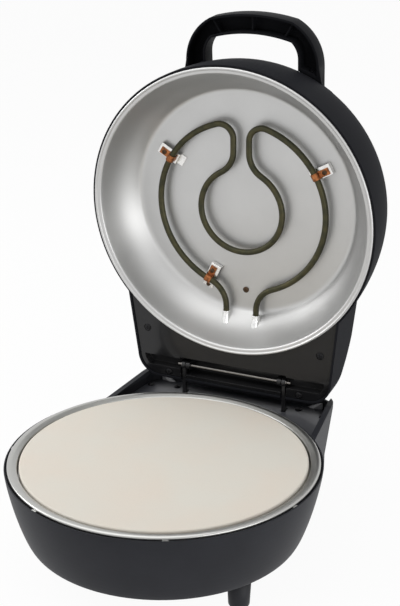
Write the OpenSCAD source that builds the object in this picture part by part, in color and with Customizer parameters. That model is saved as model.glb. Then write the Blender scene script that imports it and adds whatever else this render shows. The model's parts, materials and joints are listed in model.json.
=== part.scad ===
// Electric pizza maker: a round base with a lift-off baking stone, and a domed lid on a floating hinge.
// The lid is drawn open. The base is drawn about its vertical axis, the lid about its own rim plane.

/* [Baking stone and tray] */
// Radius of the baking stone
stone_r = 152.5; // [140:0.5:156]
// Thickness of the baking stone
stone_t = 12; // [8:0.5:14]
// Depth of the stone's top below the ring's crown
stone_drop = 1.5; // [1:0.5:6]
// Gap all round the stone
stone_gap = 2; // [1:0.1:4]
// Width of the steel ring round the stone
ring_w = 9.6; // [7:0.1:14]
// Gauge of the pressed sheet parts
sheet_t = 1; // [0.6:0.1:1.5]
// Depth of the lower reflector under the stone
lower_pan_depth = 24; // [18:1:32]

/* [Base housing] */
// Groove between the ring and the housing
rim_groove = 1.8; // [1.2:0.1:3]
// Lip of the housing at the groove
lip_t = 1.2; // [1.2:0.1:2.5]
// Drop of the housing's lip below the ring's crown
lip_drop = 3; // [1:0.5:5]
// Wall of the moulded housings
wall = 2.5; // [2:0.1:3.5]
// Height of the bowl from its floor to the ring's crown
bowl_h = 80.4; // [76:0.2:100]
// Radius of the bowl's flat floor
bowl_floor_r = 147; // [136:1:150]
// Draft of the rear box, as the share it narrows by over the bowl's height
box_draft = 0.06; // [0.01:0.005:0.08]
// Height of the raised rear corners above the ring's crown
cheek_h = 2.5; // [1:0.5:5]
// Thickness of those raised corners
cheek_t = 6.5; // [3:0.5:8]

/* [Rear box outline] */
// Half width of the box where it leaves the round body
box_half_front = 131.5; // [126:0.5:136]
// Half width of the box at its rear corners
box_half_rear = 123; // [118:0.5:126]
// Radius of the rear corners
box_corner_r = 28; // [20:1:34]
// Distance from the body's axis to where the sides start to taper
box_taper_y = 106; // [96:1:118]
// How far the base's box stays inside the lid's outline
base_box_inset = 1; // [0.5:0.1:2]

/* [Feet] */
// Height of a foot below the bowl's floor
foot_h = 36.6; // [24:0.2:40]
// Radius of a foot at the floor of the bowl
foot_top_r = 12.5; // [10:0.5:14]
// Radius of a foot at the table
foot_low_r = 10; // [8:0.1:11]
// Radius of the circle that the feet stand on
foot_circle_r = 126; // [118:1:129]
// Angle from the body's sides to the two front feet
foot_side_deg = 27.5; // [24:0.5:32]

/* [Hinge] */
// Height of the arms' pivots below the ring's crown
pivot_drop = 20; // [18:0.5:24]
// Distance of the arms' pivots behind the body's axis
pivot_y = 160; // [159:0.5:163]
// Length from the arm's pivot to the lid's rod
arm_len = 49.15; // [47:0.05:51]
// Slope of that line when the lid is open
arm_open_deg = 59.2; // [57:0.1:61]
// Slope of that line when the lid is closed
arm_closed_deg = 40.1; // [39:0.1:42]
// How far the lid swings from closed to open
lid_open_deg = 85.5; // [80:0.5:88]
// Gap between the closed lid's rim and the ring
lid_gap = 3; // [2:0.1:5]
// Distance of each arm from the middle
arm_x = 64; // [58:0.5:68]
// Thickness of an arm
arm_t = 4; // [3:0.1:5]
// Width of an arm
arm_w = 5; // [4:0.1:6]
// Radius of the hinge rod and the pivot pins
rod_r = 2; // [1.6:0.1:2.4]
// Running clearance of the arms on the rod and the pins
rod_run = 0.06; // [0.02:0.01:0.1]
// Depth of the deck that the arms come through
deck_drop = 14; // [12:0.5:15]
// Thickness of the deck
deck_t = 2; // [1.6:0.1:2]

/* [Lid] */
// Radius over the dish's rolled rim
dish_r = 167.9; // [160:0.1:174]
// Width of the dish's flat rim
dish_rim_w = 7; // [5:0.5:9]
// Depth of the dish
dish_depth = 50.6; // [46:0.2:54]
// Radius of the dish's flat floor
dish_floor_r = 132.9; // [126:0.1:137]
// Outward bulge of the dish's sloping wall
dish_bulge = 4.5; // [2:0.5:5.5]
// Gap between the dish's rim and the lid shell
lid_groove = 0.7; // [0.5:0.1:2]
// Depth of the lid shell
lid_h = 88; // [82:1:96]
// How much smaller the lid's flat top is than its rim
lid_shoulder = 16.3; // [12:0.1:30]
// Depth of the rear box on the lid
lid_box_h = 60; // [54:1:64]
// Length of lid behind the hinge rod
rod_to_rear = 18.4; // [17:0.2:20]

/* [Handle] */
// Half width over the handle
handle_half = 79.5; // [70:0.5:84]
// Reach of the handle beyond the lid's rim
handle_out = 39.7; // [32:0.1:44]
// Rise of the handle above the lid's top
handle_rise = 7.5; // [2:0.5:10]
// Width of the handle's bar
handle_bar = 21.5; // [16:0.5:24]
// Width of the handle's legs
handle_leg = 24; // [20:1:28]
// Outer corner radius of the handle
handle_corner_r = 56; // [40:0.5:60]
// Radius of the handle's slightly arched top
handle_crown_r = 200; // [150:5:400]
// Thickness through the handle
handle_t = 20; // [16:1:24]
// Wall of the handle's channel section
handle_wall = 2.6; // [2:0.1:3.5]

/* [Heating elements] */
// Diameter of the element's sheath
element_d = 7; // [6:0.1:8]
// Stand-off of an element's centre line from its reflector
element_rise = 10; // [6.5:0.1:12]
// Radius of the upper element's outer loop
outer_loop_r = 101.5; // [92:0.5:108]
// Radius of the upper element's inner loop
inner_loop_r = 50; // [42:1:54]
// Half distance between the two hairpin legs in the middle
hairpin_half = 9.5; // [8:0.5:14]
// Radius of the hairpin bends
hairpin_r = 16; // [12:0.5:20]
// Radius of the bends into the inner loop
flare_r = 30; // [20:1:36]
// Half distance between the terminals
terminal_half = 19; // [16:0.5:24]
// Radius of the bends into the terminals
terminal_bend_r = 32; // [18:1:36]
// Radius of the lower element's loop
lower_loop_r = 96; // [80:1:104]

/* [Hidden] */
$fn = 96;

// Clearances between seated pieces
fit = 0.3;
seat = 0.1;
eps = 0.01;

// Ring, tray and housing, with heights measured from the ring's crown
tray_r = stone_r + stone_gap + sheet_t;
ring_r = tray_r + ring_w;
ledge_z = -(stone_drop + stone_t);
ledge_w = 7;
ring_slope = 3.2;
ring_skirt = 7;
pan_z = ledge_z - sheet_t;
lip_in_r = ring_r + rim_groove;
housing_r = lip_in_r + lip_t;
rabbet_drop = ring_skirt + seat;
deck_z = -deck_drop;
ring_top_z = foot_h + bowl_h;
curve_steps = 16;

// Hinge points as [y, z] from the body's axis and the ring's crown
pivot = [pivot_y, -pivot_drop];
rod_open = pivot + arm_len * [cos(arm_open_deg), sin(arm_open_deg)];
rod_closed = pivot + arm_len * [cos(arm_closed_deg), sin(arm_closed_deg)];
// The rod in the lid's own frame: y towards the hinge, z away from the rim plane
rod_lid = [rod_closed[0], rod_closed[1] - lid_gap];
box_rear = rod_lid[0] + rod_to_rear;

// Lid
lid_lip_z = 2;
lid_lip_in_r = dish_r + lid_groove;
lid_r = lid_lip_in_r + 1.7;
lid_top_r = lid_r - lid_shoulder;
lid_power = 1.75;
bowl_power = 1.26;
foot_angles = [180 + foot_side_deg, 360 - foot_side_deg, 90];
dish_bead_r = 1.5;
frame_z = 2 * dish_bead_r;
panel_z = 3.5;
panel_t = 2.5;
well_y0 = rod_lid[0] - 11.1;
well_y1 = rod_lid[0] + 11.4;
well_depth = 22;
well_half = arm_x + arm_t / 2 + 2;
channel_depth = 14;
rod_half = arm_x + 8;
lug_t = 5;
lug_x = arm_x - arm_t / 2 - 1 - lug_t / 2;
eye_r = arm_w;
element_z = dish_depth - element_rise;
// Where the brackets grip the outer loop, and which way each one faces
bracket_angles = [330.5, 210, 114.5];
bracket_facing = [0, 0, 180];
element_turn = 1.2;
lens_x = 13;
lens_y = 82;
lens_r = 5;
panel_screw_spots = [[box_half_rear - 14, 153.8], [83.4, box_rear - 7]];

// Handle
handle_reach = lid_r + handle_out;
handle_z0 = lid_h + handle_rise - handle_t;
handle_in_half = handle_half - handle_leg;
handle_in_reach = handle_reach - handle_bar;
handle_in_corner = handle_corner_r - handle_bar - 9.5;
handle_in_crown = handle_crown_r - handle_bar - 10;
handle_root_r = lid_r - 5;
handle_foot_y = lid_top_r - 34;
rib_t = 1.6;

// Superellipse from a rim radius to a flat's radius over a height, as [radius, depth]
function dome_pts(rim_r, flat_r, depth, power, steps = curve_steps) =
    [for (i = [0:steps]) let (a = 90 * i / steps)
        [flat_r + (rim_r - flat_r) * pow(cos(a), 2 / power), depth * pow(sin(a), 2 / power)]];

// Arc-like curve between two points that bulges to the right of its direction
function bulged(p, q, bulge, steps = 12) =
    let (d = q - p, n = [d[1], -d[0]] / norm(d))
    [for (i = [0:steps]) let (t = i / steps) p + t * d + bulge * sin(180 * t) * n];

lid_outer_pts = dome_pts(lid_r, lid_top_r, lid_h - lid_lip_z, lid_power);
// Furthest reach of the open lid behind the axis, which centres the whole part
rim_centre = [rod_open[0] - rod_lid[0] * cos(lid_open_deg) - rod_lid[1] * sin(lid_open_deg),
    rod_open[1] + rod_lid[0] * sin(lid_open_deg) - rod_lid[1] * cos(lid_open_deg)];
rear_reach = rim_centre[0] + max([for (p = lid_outer_pts)
    (p[1] + lid_lip_z) * sin(lid_open_deg) + p[0] * cos(lid_open_deg)]);
middle_y = (rear_reach - housing_r) / 2;

module at_ring() translate([0, -middle_y, ring_top_z]) children();
module in_lid() at_ring() translate([0, rod_open[0], rod_open[1]]) rotate([-lid_open_deg, 0, 0])
    translate([0, -rod_lid[0], -rod_lid[1]]) children();
module both_sides() {
    children();
    mirror([1, 0, 0]) children();
}
module pair_x(x) for (side = [-1, 1]) translate([side * x, 0, 0]) children();

// ---------- shared forms ----------

// Plan of the rear box, with every edge moved inwards by inset
module box_plan(inset = 0) {
    front = box_half_front - inset;
    rear = box_half_rear - inset;
    y1 = box_rear - inset;
    r = box_corner_r - inset;
    polygon([[-front, 40], [-front, box_taper_y], [-rear, y1 - r], [-rear + r, y1],
        [rear - r, y1], [rear, y1 - r], [front, box_taper_y], [front, 40]]);
    for (side = [-1, 1]) translate([side * (rear - r), y1 - r]) circle(r);
}

module tube_bend(r, from, to) rotate([0, 0, from]) rotate_extrude(angle = to - from)
    translate([r, 0]) circle(d = element_d, $fn = 24);

module round_head(r, h) {
    cylinder(r = r, h = h * 0.5, $fn = 32);
    translate([0, 0, h * 0.5]) cylinder(r1 = r, r2 = r * 0.72, h = h * 0.5, $fn = 32);
}

// ---------- base ----------

module bowl(inset = 0) {
    pts = dome_pts(housing_r - inset, bowl_floor_r - inset, bowl_h - lip_drop - inset,
        bowl_power);
    rotate_extrude() polygon(concat([[0, -lip_drop + (inset > 0 ? 2 : 0)],
        [housing_r - inset, -lip_drop + (inset > 0 ? 2 : 0)]],
        [for (p = pts) [p[0], -lip_drop - p[1]]],
        [[0, -bowl_h + inset]]));
}

module rear_box(inset, top, bottom) {
    share = (top - bottom) / bowl_h;
    translate([0, 0, top]) mirror([0, 0, 1])
        linear_extrude(height = top - bottom, scale = 1 - box_draft * share)
            box_plan(base_box_inset + inset);
}

deck_posts = [[79, box_rear - 21], [box_half_rear - 12, box_rear - 29]];
post_r = 4.5;
wire_hole_r = 8;
bush_r = 6.8;
bush_z = -58;
bush_x = -62;
bush_y = box_rear - 17.2;

module cheeks() intersection() {
    linear_extrude(height = 20, center = true) difference() {
        box_plan(base_box_inset);
        box_plan(base_box_inset + cheek_t);
        translate([-box_half_rear + 8.5, 0]) square([2 * box_half_rear - 17, 300]);
    }
    rotate([90, 0, 90]) linear_extrude(height = 300, center = true)
        polygon([[112, -lip_drop - eps], [box_rear, -lip_drop - eps], [box_rear, cheek_h],
            [186, cheek_h]]);
}

module base_housing() color([0.27, 0.28, 0.3]) at_ring() {
    difference() {
        union() {
            bowl();
            rear_box(0, -lip_drop, -bowl_h);
        }
        bowl(wall);
        difference() {
            rear_box(wall, -lip_drop + 1, -bowl_h + wall);
            bowl();
        }
        translate([0, 0, -rabbet_drop]) cylinder(r = lip_in_r, h = 10);
        translate([0, 150, -52]) rotate([-90, 0, 0]) cylinder(r = wire_hole_r, h = 30);
        translate([bush_x, box_rear - 20, bush_z]) rotate([-90, 0, 0])
            cylinder(r = bush_r + fit, h = 30);
        for (a = foot_angles) rotate([0, 0, a]) translate([foot_circle_r, 0, -bowl_h - 1])
            cylinder(r = 2.3, h = 10, $fn = 32);
    }
    cheeks();
    // Posts that carry the deck
    for (p = deck_posts) both_sides() translate([p[0], p[1], -bowl_h + wall - eps]) difference() {
        cylinder(r = post_r, h = bowl_h - wall + eps + deck_z - deck_t, $fn = 40);
        translate([0, 0, 20]) cylinder(r = 1.6, h = bowl_h, $fn = 24);
    }
    // Ribs that carry the reflector's flange and the ring
    for (a = [0:45:315]) rotate([0, 0, a + 22.5]) difference() {
        translate([tray_r - 3.5, -1.5, -40]) cube([14, 3, 40 + pan_z - sheet_t]);
        difference() {
            cylinder(r = 300, h = 300, center = true);
            bowl(wall - 0.5);
        }
    }
}

module tray_ring() color([0.72, 0.72, 0.7]) at_ring() rotate_extrude($fn = 128) {
    t = sheet_t;
    crown = tray_r + ring_w * 0.62;
    // Sloped inner band, rolled crown and skirt
    polygon([[tray_r - t, ledge_z], [tray_r - t, -ring_slope + 0.3], [crown - 2, -0.25], [crown, 0],
        [ring_r - 1.2, -0.35], [ring_r - 0.35, -0.9], [ring_r, -1.8], [ring_r, -ring_skirt],
        [ring_r - t, -ring_skirt], [ring_r - t, -2.2], [ring_r - t - 0.6, -1.6],
        [crown, -t], [crown - 2, -t - 0.25], [tray_r, -ring_slope - 0.5], [tray_r, ledge_z - t],
        [tray_r - ledge_w - t, ledge_z - t], [tray_r - ledge_w - t, ledge_z]]);
}

module baking_stone() color([0.87, 0.85, 0.79]) at_ring() translate([0, 0, ledge_z])
    rotate_extrude($fn = 128) polygon([[0, 0], [stone_r - 1, 0], [stone_r, 1],
        [stone_r, stone_t - 1.6], [stone_r - 0.5, stone_t - 0.5], [stone_r - 1.6, stone_t],
        [0, stone_t]]);

pan_floor_z = pan_z - lower_pan_depth;
pan_floor_r = tray_r - ledge_w - 20;
lower_element_z = pan_floor_z + element_rise;
lower_gap_deg = 14;
clip_angles = [210, 330, 90 + 60];

module lower_reflector() color([0.78, 0.78, 0.76]) at_ring() difference() {
    rotate_extrude($fn = 128) {
        t = sheet_t;
        polygon([[0, pan_floor_z - t], [pan_floor_r, pan_floor_z - t],
            [tray_r - ledge_w - 1.5, pan_z - t], [tray_r - 1, pan_z - t], [tray_r - 1, pan_z],
            [tray_r - ledge_w - 2.2, pan_z], [pan_floor_r - 0.7, pan_floor_z],
            [0, pan_floor_z]]);
    }
    for (side = [-1, 1]) rotate([0, 0, 90 + side * lower_gap_deg])
        translate([lower_loop_r, 0, pan_floor_z - 5]) cylinder(r = 5 + seat, h = 10, $fn = 40);
    translate([0, 0, pan_floor_z - 5]) cylinder(r = 2, h = 10, $fn = 24);
}

module lower_element() color([0.36, 0.33, 0.24]) at_ring() translate([0, 0, lower_element_z]) {
    tube_bend(lower_loop_r, 90 + lower_gap_deg, 450 - lower_gap_deg);
    for (side = [-1, 1]) rotate([0, 0, 90 + side * lower_gap_deg]) translate([lower_loop_r, 0, 0]) {
        sphere(d = element_d, $fn = 24);
        mirror([0, 0, 1]) cylinder(d = element_d, h = element_rise + 6, $fn = 24);
    }
}

module lower_element_clips() color([0.62, 0.62, 0.6]) at_ring() for (a = clip_angles)
    rotate([0, 0, a]) translate([lower_loop_r, 0, pan_floor_z]) difference() {
        translate([-11, -5, 0]) cube([22, 10, element_rise + element_d / 2 + 1.2]);
        translate([-7.5, -6, 1.2]) cube([4, 12, 40]);
        translate([3.5 + seat, -6, 1.2]) cube([4, 12, 40]);
        translate([-12, -6, 1.2]) cube([4.6, 12, 40]);
        translate([7.4, -6, 1.2]) cube([4.6, 12, 40]);
        translate([-3.5 - seat, -6, 1.2]) cube([7 + 2 * seat, 12, element_rise + 2.3 + seat]);
    }

module lower_ferrules() color([0.85, 0.85, 0.82]) at_ring() for (side = [-1, 1])
    rotate([0, 0, 90 + side * lower_gap_deg])
        translate([lower_loop_r, 0, pan_floor_z]) difference() {
            union() {
                translate([0, 0, -6]) cylinder(r = 5, h = 8.5, $fn = 40);
                cylinder(r = 6.4, h = 1.2, $fn = 40);
            }
            translate([0, 0, -7]) cylinder(r = element_d / 2 + 0.05, h = 12, $fn = 40);
        }

module base_thermostat() color([0.5, 0.42, 0.3]) at_ring() {
    translate([0, 0, pan_floor_z - sheet_t - 9]) {
        cylinder(r = 9, h = 9, $fn = 48);
        translate([-13, -4, 4]) cube([26, 8, 1]);
    }
    translate([0, 0, pan_floor_z - 2]) cylinder(r = 1.8, h = 2, $fn = 24);
    translate([0, 0, pan_floor_z]) round_head(3.2, 1.8);
}

rim_clip_angles = [for (k = [0:4]) -163.3 + 50 * k];

module rim_clips() color([0.35, 0.35, 0.34]) at_ring() for (a = rim_clip_angles)
    rotate([0, 0, a]) intersection() {
        translate([ring_r - 4, -3, seat - rabbet_drop]) cube([10, 6, rabbet_drop - lip_drop - 0.2]);
        difference() {
            cylinder(r = lip_in_r - 0.2, h = 40, center = true);
            cylinder(r = ring_r + 0.2, h = 60, center = true);
        }
    }

// The deck clears the box's walls, which lean inwards below it
deck_inset = base_box_inset + wall + 1.6 * fit
    + box_rear * box_draft * (deck_drop + deck_t - lip_drop) / bowl_h;
slot_y0 = rod_open[0] - arm_w / 2 - 1.4;
slot_y1 = rod_open[0] + arm_w / 2 + 5.4;
pin_lug_t = 2.5;
pin_gap = 0.4;
pin_lug_r = 3.6;

module rear_deck() color([0.36, 0.37, 0.39]) at_ring() difference() {
    union() {
        translate([0, 0, deck_z - deck_t]) linear_extrude(height = deck_t) difference() {
            box_plan(deck_inset);
            circle(r = housing_r + 0.4);
        }
        // Lugs under the deck that hold the pivot pins
        difference() {
            for (x = [-arm_x, arm_x], side = [-1, 1])
                translate([x + side * (arm_t / 2 + pin_gap + pin_lug_t / 2), 0, 0])
                    rotate([90, 0, 90]) linear_extrude(height = pin_lug_t, center = true) {
                        translate(pivot) circle(r = pin_lug_r, $fn = 40);
                        translate([pivot[0] - pin_lug_r, pivot[1]])
                            square([16, deck_z - deck_t - pivot[1] + eps]);
                    }
            cylinder(r = housing_r - 0.5, h = 100, center = true);
        }
    }
    for (x = [-arm_x, arm_x]) {
        translate([x - arm_t / 2 - 0.8, slot_y0, deck_z - 8])
            cube([arm_t + 1.6, slot_y1 - slot_y0, 20]);
        translate([x, pivot[0], pivot[1]]) rotate([0, 90, 0])
            cylinder(r = rod_r + 0.02, h = 30, center = true, $fn = 40);
        translate([x - arm_t / 2 - pin_gap, 0, pivot[1] - 5])
            cube([arm_t + 2 * pin_gap, pivot[0] + 14, deck_z - deck_t - pivot[1] + 5]);
    }
    for (p = deck_posts) both_sides() translate([p[0], p[1], deck_z - 10])
        cylinder(r = 2.2, h = 30, $fn = 24);
}

module deck_screws() color([0.3, 0.3, 0.3]) at_ring() for (i = [0, 1]) both_sides()
    translate([deck_posts[i][0], deck_posts[i][1], deck_z]) {
        difference() {
            round_head(4, 2.2);
            translate([0, 0, 2.2]) cube([5, 0.9, 1.8], center = true);
        }
        mirror([0, 0, 1]) cylinder(r = 1.55, h = 14, $fn = 24);
    }

module pivot_pins() color([0.75, 0.75, 0.75]) at_ring()
    for (x = [-arm_x, arm_x]) translate([x, pivot[0], pivot[1]]) rotate([0, 90, 0]) {
        reach = arm_t / 2 + pin_gap + pin_lug_t;
        cylinder(r = rod_r, h = 2 * reach, center = true, $fn = 40);
        translate([0, 0, sign(x) * (reach + 0.6)])
            cylinder(r = rod_r + 1.2, h = 1.2, center = true, $fn = 40);
    }

// An arm: an eye on the lid's rod, an upright, a crank below the deck and an eye on the pin
module hinge_arm(x) color([0.1, 0.1, 0.1]) at_ring() translate([x, 0, 0])
    rotate([90, 0, 90]) linear_extrude(height = arm_t, center = true) difference() {
        union() {
            translate(rod_open) circle(r = eye_r, $fn = 48);
            translate([rod_open[0] - arm_w / 2, pivot[1]])
                square([arm_w, rod_open[1] - pivot[1]]);
            translate([rod_open[0], pivot[1]]) circle(r = arm_w / 2, $fn = 40);
            translate([pivot[0], pivot[1] - arm_w / 2])
                square([rod_open[0] - pivot[0], arm_w]);
            translate(pivot) circle(r = rod_r + 1.8, $fn = 40);
        }
        translate(rod_open) circle(r = rod_r + rod_run, $fn = 40);
        translate(pivot) circle(r = rod_r + rod_run, $fn = 40);
    }
module hinge_arm_left() hinge_arm(-arm_x);
module hinge_arm_right() hinge_arm(arm_x);

module terminal_block() color([0.85, 0.85, 0.8]) at_ring()
    translate([-20, box_rear - 42, -bowl_h + wall]) difference() {
        cube([42, 18, 16]);
        for (i = [0:2]) translate([8 + 13 * i, 5, 8]) cylinder(r = 2.5, h = 20, $fn = 24);
        for (i = [0:2]) translate([8 + 13 * i, 13, 8]) cylinder(r = 2.5, h = 20, $fn = 24);
    }

bush_bore_r = 4.2;
bush_l = 16;

module cord_bush() color([0.08, 0.08, 0.08]) at_ring()
    translate([bush_x, bush_y, bush_z]) rotate([-90, 0, 0]) difference() {
        union() {
            cylinder(r = bush_r, h = bush_l, $fn = 48);
            cylinder(r = bush_r + 2.2, h = 3, $fn = 48);
            translate([0, 0, bush_l - 5]) cylinder(r = bush_r + 2.2, h = 5, $fn = 48);
        }
        translate([0, 0, -1]) cylinder(r = bush_bore_r, h = bush_l + 2, $fn = 48);
    }

module foot(angle) color([0.12, 0.12, 0.13]) at_ring() rotate([0, 0, angle])
    translate([foot_circle_r, 0, -ring_top_z]) difference() {
        rotate_extrude($fn = 64) polygon([[0, 0], [foot_low_r - 1.6, 0], [foot_low_r - 0.5, 0.5],
            [foot_low_r, 1.8], [foot_top_r, foot_h], [0, foot_h]]);
        translate([0, 0, foot_h - 12]) cylinder(r = 2.05, h = 20, $fn = 32);
    }
module foot_front_left() foot(foot_angles[0]);
module foot_front_right() foot(foot_angles[1]);
module foot_rear() foot(foot_angles[2]);

module foot_screws() color([0.7, 0.7, 0.7]) at_ring() for (a = foot_angles)
    rotate([0, 0, a]) translate([foot_circle_r, 0, -bowl_h + wall]) {
        round_head(4, 2.4);
        translate([0, 0, -wall - 9]) cylinder(r = 2, h = wall + 9, $fn = 32);
    }

// ---------- lid, in its own frame ----------

module dome(inset = 0) {
    pts = dome_pts(lid_r - inset, lid_top_r - inset, lid_h - lid_lip_z - inset, lid_power);
    low = inset > 0 ? -1 : 0;
    rotate_extrude($fn = 128) polygon(concat([[0, lid_lip_z + low], [lid_r - inset, lid_lip_z + low]],
        [for (p = pts) [p[0], p[1] + lid_lip_z]], [[0, lid_h - inset]]));
}

// Side view of the rear box: a flat top that rounds down to the rear end
module lid_box_side(inset) {
    r = 26 - inset;
    top = lid_box_h - inset;
    rear = box_rear - inset;
    low = inset > 0 ? lid_lip_z - 1 : lid_lip_z;
    polygon([[60, low], [rear, low], [rear, top - r], [rear - r, top], [60, top + 12]]);
    translate([rear - r, top - r]) circle(r, $fn = 64);
}

// The box's rear corners round away from the rim, within this form about the lid's axis
lid_box_round = [norm([box_half_rear - box_corner_r, box_rear - box_corner_r]) + box_corner_r + 1.4,
    150, lid_box_h + 12, 2.2];

module lid_box(inset = 0) intersection() {
    linear_extrude(height = lid_h) box_plan(inset);
    rotate_extrude($fn = 128) polygon(concat([[0, -1], [lid_box_round[0] - inset, -1]],
        dome_pts(lid_box_round[0] - inset, lid_box_round[1] - inset, lid_box_round[2] - inset,
            lid_box_round[3]), [[0, lid_box_round[2] - inset]]));
    rotate([90, 0, 90]) linear_extrude(height = 400, center = true) lid_box_side(inset);
}

module arm_slots(depth) for (x = [-arm_x, arm_x])
    translate([x - arm_t / 2 - 1.2, well_y1 - 1, -5]) cube([arm_t + 2.4, 40, depth + 5]);

slot_depth = rod_lid[1] + arm_w / 2 + 1.6;
screw_post_r = 4;

module lid_shell() color([0.17, 0.17, 0.18]) in_lid() difference() {
    union() {
        difference() {
            union() {
                dome();
                lid_box();
            }
            dome(wall);
            lid_box(wall);
            // Lip round the dish's rim
            translate([0, 0, -1]) cylinder(r = lid_lip_in_r, h = 1 + panel_z + panel_t + seat);
        }
        // Posts for the panel's screws
        intersection() {
            for (p = panel_screw_spots) both_sides()
                translate([p[0], p[1], panel_z + panel_t + seat])
                    cylinder(r = screw_post_r, h = lid_h, $fn = 40);
            union() {
                dome(0.5);
                lid_box(0.5);
            }
        }
    }
    arm_slots(slot_depth);
    for (p = panel_screw_spots) both_sides()
        translate([p[0], p[1], 0]) cylinder(r = 1.6, h = 22, $fn = 24);
    for (side = [-1, 1]) translate([side * lens_x, -lens_y, lid_h - 10])
        cylinder(r = lens_r + seat, h = 20, $fn = 40);
    for (side = [-1, 1]) translate([side * handle_screw_x, 0, handle_screw_z]) rotate([90, 0, 0])
        cylinder(r = 2.2, h = 300, $fn = 32);
}

module lid_frame() color([0.2, 0.21, 0.22]) in_lid() difference() {
    union() {
        // Ring under the dish's rim
        translate([0, 0, frame_z]) difference() {
            cylinder(r = lid_lip_in_r - fit, h = panel_z + panel_t - frame_z);
            translate([0, 0, -1]) cylinder(r = dish_r - 3.4, h = 10);
        }
        // Panel over the rear box
        translate([0, 0, panel_z]) linear_extrude(height = panel_t) difference() {
            box_plan(wall + fit);
            circle(r = dish_r - 3.4);
        }
        // Well for the hinge and channels for the rod's ends
        intersection() {
            union() {
                translate([-well_half - 2, well_y0 - 2, panel_z])
                    cube([2 * well_half + 4, well_y1 - well_y0 + 4, well_depth + 2 - panel_z]);
                translate([-box_half_rear, well_y0, panel_z])
                    cube([2 * box_half_rear, well_y1 - 5 - well_y0, channel_depth + 2 - panel_z]);
            }
            linear_extrude(height = 100) box_plan(wall + 2.5);
        }
    }
    translate([-well_half, well_y0, 0]) cube([2 * well_half, well_y1 - well_y0, well_depth]);
    intersection() {
        translate([-box_half_rear, well_y0 + 2, 0])
            cube([2 * box_half_rear, well_y1 - 9 - well_y0, channel_depth]);
        linear_extrude(height = 100) box_plan(wall + 6);
    }
    arm_slots(slot_depth);
    for (p = panel_screw_spots) both_sides() translate([p[0], p[1], 0]) {
        cylinder(r = 2.2, h = 22, $fn = 24);
        cylinder(r = 4.6, h = panel_z + 1.2, $fn = 32);
    }
}

// Lugs that hold the rod, moulded into the well
module hinge_lugs() color([0.2, 0.21, 0.22]) in_lid() both_sides()
    translate([lug_x, 0, 0]) rotate([90, 0, 90]) linear_extrude(height = lug_t, center = true)
        difference() {
            union() {
                translate(rod_lid) circle(r = 5, $fn = 48);
                translate([rod_lid[0] - 5, rod_lid[1]])
                    square([10, well_depth - rod_lid[1] + eps]);
            }
            translate(rod_lid) circle(r = rod_r + 0.02, $fn = 40);
        }

module hinge_rod() color([0.85, 0.85, 0.85]) in_lid()
    translate([0, rod_lid[0], rod_lid[1]]) rotate([0, 90, 0])
        cylinder(r = rod_r, h = 2 * rod_half, center = true, $fn = 40);

module rod_clips() color([0.6, 0.6, 0.6]) in_lid()
    for (side = [-1, 1]) translate([side * (arm_x + arm_t / 2 + 0.9), rod_lid[0], rod_lid[1]])
        rotate([0, 90, 0]) difference() {
            cylinder(r = rod_r + 1.6, h = 1, center = true, $fn = 40);
            cylinder(r = rod_r + 0.02, h = 3, center = true, $fn = 40);
        }

dish_wall_pts = bulged([dish_r - dish_rim_w, 1], [dish_floor_r, dish_depth], dish_bulge);

module reflector_dish() color([0.8, 0.8, 0.79]) in_lid() difference() {
    rotate_extrude($fn = 128) {
        t = sheet_t;
        rim_in = dish_r - dish_rim_w;
        polygon(concat([[0, dish_depth]], [for (i = [0:12]) dish_wall_pts[12 - i]],
            [[dish_r - dish_bead_r, 1], [dish_r - dish_bead_r, 1 + t], [rim_in + t, 1 + t]],
            [for (p = dish_wall_pts) if (p[1] > 1 + t) [p[0] + t, p[1] + t * 0.3]],
            [[dish_floor_r, dish_depth + t], [0, dish_depth + t]]));
        translate([dish_r - dish_bead_r, dish_bead_r]) circle(dish_bead_r, $fn = 24);
    }
    element_frame() for (side = [-1, 1]) translate([side * terminal_half, 0, element_z])
        rotate([-90, 0, 0]) cylinder(r = ferrule_r + seat, h = 200, $fn = 40);
    translate([0, thermostat_y, dish_depth - 5]) cylinder(r = 2, h = 10, $fn = 24);
}

// ---------- upper heating element ----------

outer_loop_y = 3.5;
inner_loop_y = 5.5;
ferrule_r = 5;
thermostat_y = 107;
hairpin_c = [hairpin_half + hairpin_r,
    outer_loop_y - sqrt(pow(outer_loop_r - hairpin_r, 2) - pow(hairpin_half + hairpin_r, 2))];
flare_c = [hairpin_half + flare_r,
    inner_loop_y - sqrt(pow(inner_loop_r + flare_r, 2) - pow(hairpin_half + flare_r, 2))];
terminal_c = [terminal_half + terminal_bend_r,
    outer_loop_y + sqrt(pow(outer_loop_r + terminal_bend_r, 2)
        - pow(terminal_half + terminal_bend_r, 2))];
terminal_end_y = dish_r - 17.9;
ferrule_y = dish_r - 34.9;

// The element and its mounts sit slightly turned in the dish
module element_frame() rotate([0, 0, element_turn]) children();

module sheath_run(p, q) translate([p[0], p[1], 0]) rotate([0, 0, atan2(q[1] - p[1], q[0] - p[0])])
    rotate([0, 90, 0]) cylinder(d = element_d, h = norm(q - p), $fn = 24);

function at_angle(c, r, a) = c + r * [cos(a), sin(a)];

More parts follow.
